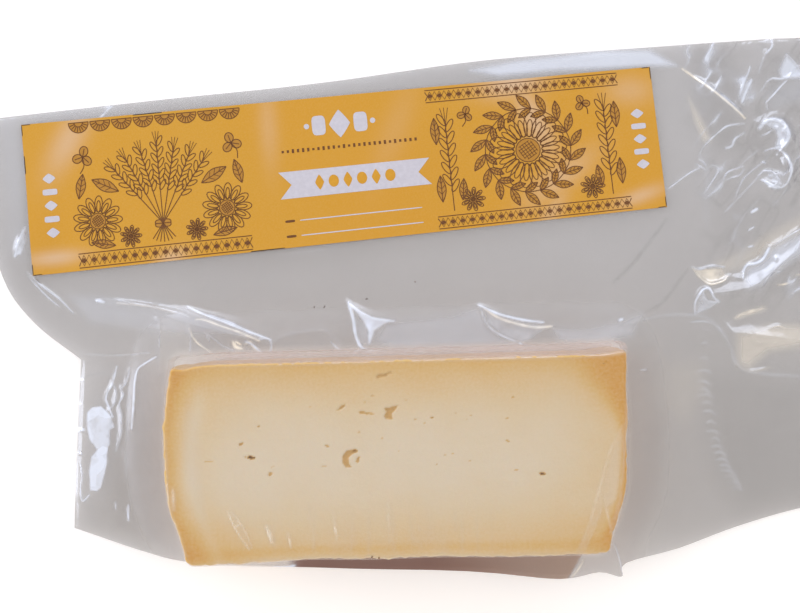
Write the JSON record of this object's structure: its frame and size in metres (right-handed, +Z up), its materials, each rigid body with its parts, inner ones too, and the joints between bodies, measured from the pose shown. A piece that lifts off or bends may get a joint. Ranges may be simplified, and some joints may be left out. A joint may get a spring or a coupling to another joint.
{
  "type": "vacuum-packed piece of cheese",
  "caption": "Thick slice of a small semi-hard cheese wheel, sealed in a clear vacuum pouch whose flat end carries a long paper label.",
  "frame": {"origin": "centre of the pack's box, on the surface it lies on", "axes": "+X along the pack's long side and along the label, +Y from the cheese to the label, +Z up from the cheese's cut face"},
  "size_m": [0.3568, 0.221, 0.05],
  "materials": {
    "cheese": "pale yellow semi-hard cheese, darker towards the rind side, under tight film",
    "film": "clear glossy vacuum film, thin, crinkled",
    "label": "satin printed paper, golden yellow"
  },
  "bodies": {
    "root": {"cheese": "cheese", "pouch": "film", "label": "label"}
  },
  "joints": []
}
